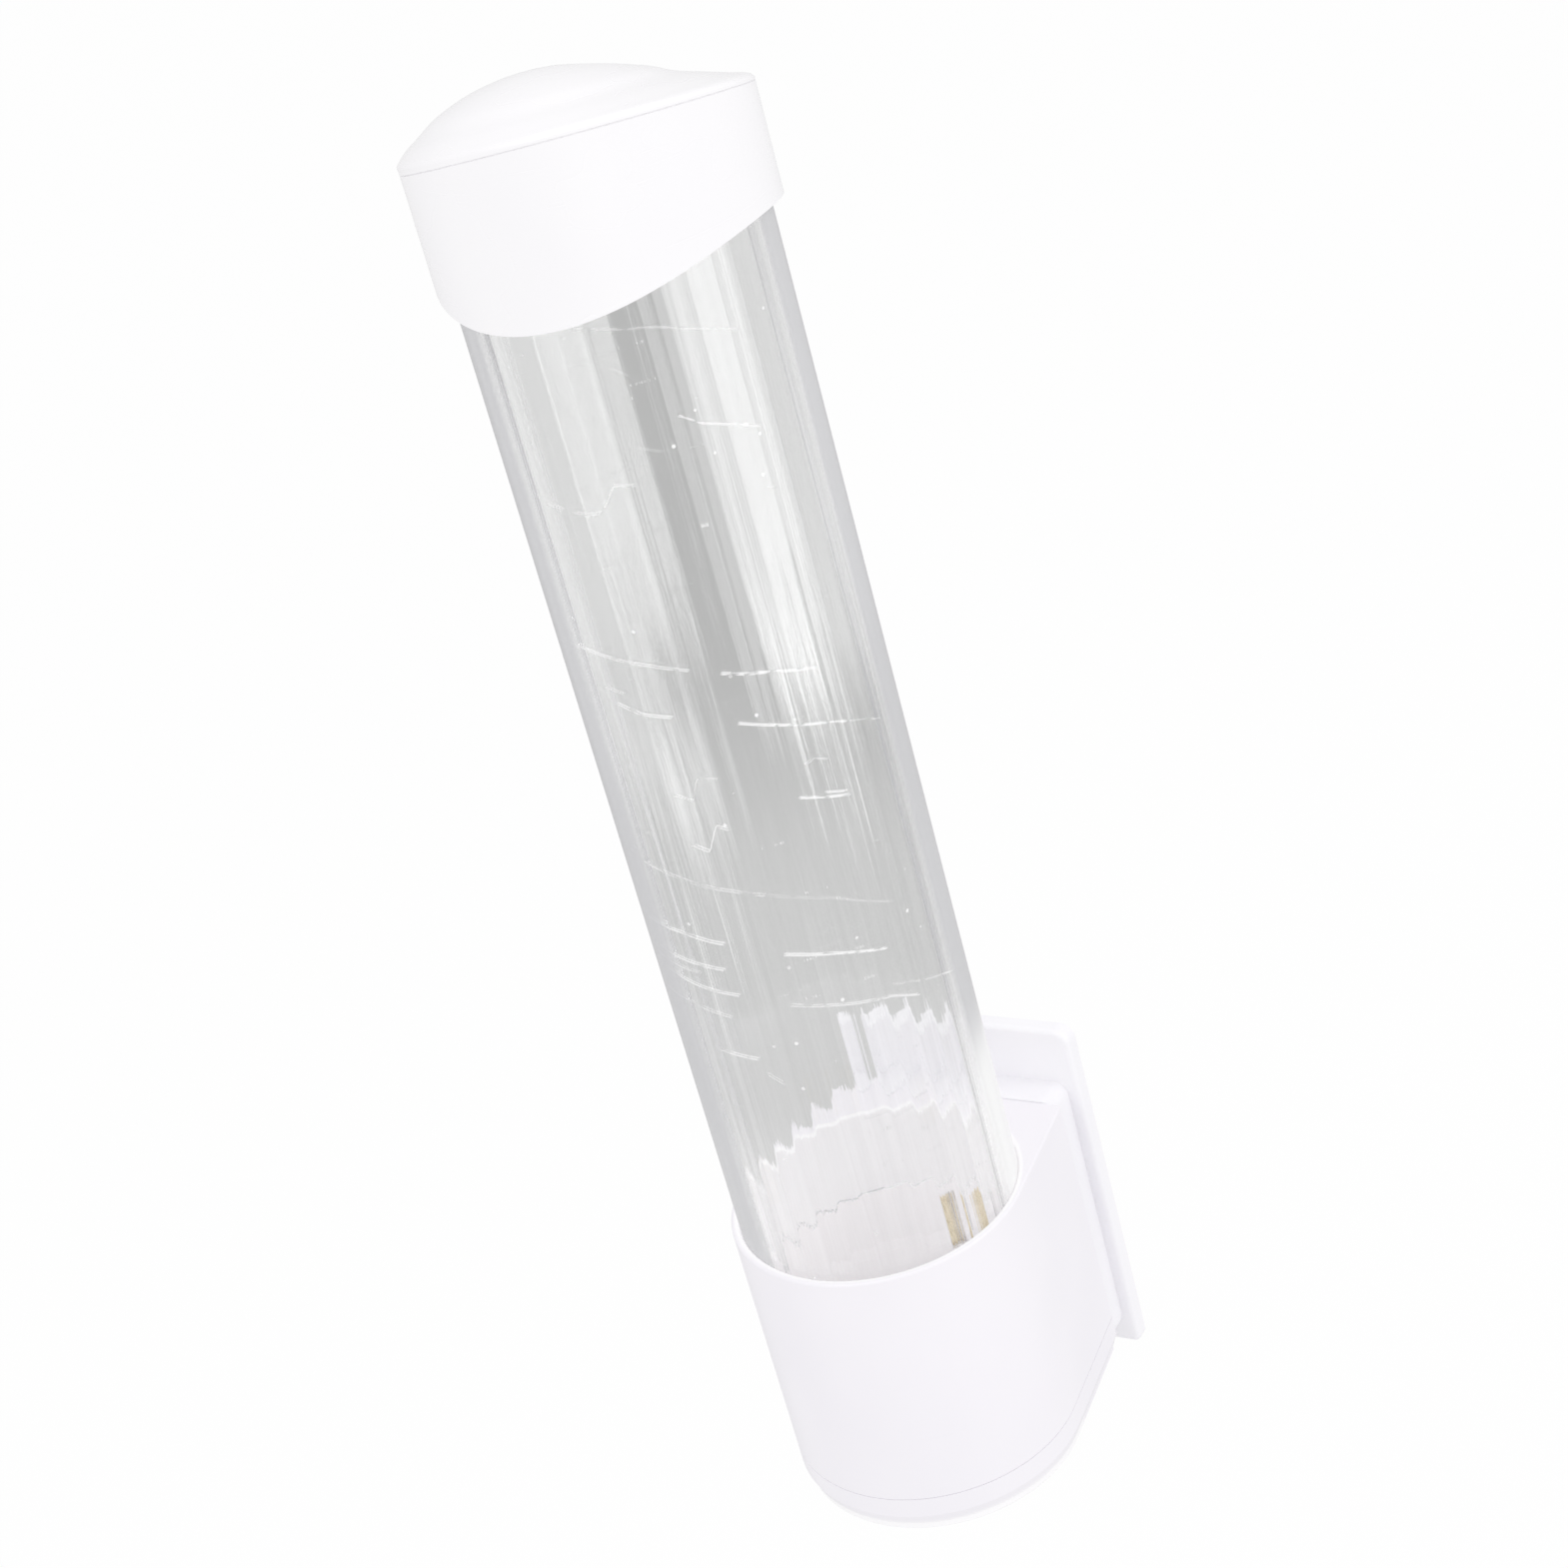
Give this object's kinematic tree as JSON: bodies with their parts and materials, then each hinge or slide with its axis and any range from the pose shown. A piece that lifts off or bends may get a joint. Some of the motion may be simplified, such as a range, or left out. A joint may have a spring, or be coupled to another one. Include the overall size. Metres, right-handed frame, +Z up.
{
  "type": "paper cup dispenser",
  "caption": "Wall-hung pull-type paper cup dispenser: clear fluted tube with a lift-off domed lid, standing in a white holder that hangs on a stepped wall bracket.",
  "frame": {"origin": "centre of the wall bracket's back face, where it meets the wall", "axes": "+Y into the wall, square to the bracket's back; +Z up along the tube; +X to the right seen from the front"},
  "size_m": [0.0888, 0.1074, 0.4368],
  "materials": {
    "holder_white": "satin moulded ABS",
    "bracket_white": "satin moulded ABS",
    "lid_white": "semi-gloss moulded ABS",
    "ring_white": "matte moulded plastic",
    "pawl_white": "matte moulded acetal",
    "tube_clear": "clear extruded polystyrene, fluted inside, lightly scratched",
    "brass": "bright rolled strip",
    "steel": "dark zinc plate"
  },
  "bodies": {
    "bracket": {"wall_bracket": "bracket_white"},
    "holder": {"holder_body": "holder_white", "bottom_cover": "holder_white", "cover_screws": "steel", "cup_ring": "ring_white", "lock_pin": "steel", "cup_tube": "tube_clear", "pawl_pin_rear": "steel", "pawl_pin_left": "steel", "pawl_pin_right": "steel", "leaf_spring_rear": "brass", "leaf_spring_left": "brass", "leaf_spring_right": "brass"},
    "lid": {"lid": "lid_white"},
    "pawl_rear": {"pawl_rear": "pawl_white"},
    "pawl_left": {"pawl_left": "pawl_white"},
    "pawl_right": {"pawl_right": "pawl_white"}
  },
  "joints": [
    {"name": "holder_lift", "type": "slide", "parent": "bracket", "child": "holder", "axis": [0, 0, 1], "range_m": [0, 0.074]},
    {"name": "lid_lift", "type": "slide", "parent": "holder", "child": "lid", "axis": [0, 0, 1], "range_m": [0, 0.05]},
    {"name": "pawl_swing_rear", "type": "hinge", "parent": "holder", "child": "pawl_rear", "pos_m": [0, -0.0242, -0.0133], "axis": [1, 0, 0], "range_deg": [0, 8], "stiffness_Nm_per_rad": 0.06, "springref_deg": -6.88, "deforming": ["leaf_spring_rear"]},
    {"name": "pawl_swing_left", "type": "hinge", "parent": "holder", "child": "pawl_left", "pos_m": [-0.0336, -0.0824, -0.0133], "axis": [-0.5, 0.866, 0], "range_deg": [0, 8], "stiffness_Nm_per_rad": 0.06, "springref_deg": -6.88, "deforming": ["leaf_spring_left"]},
    {"name": "pawl_swing_right", "type": "hinge", "parent": "holder", "child": "pawl_right", "pos_m": [0.0336, -0.0824, -0.0133], "axis": [-0.5, -0.866, 0], "range_deg": [0, 8], "stiffness_Nm_per_rad": 0.06, "springref_deg": -6.88, "deforming": ["leaf_spring_right"]}
  ]
}
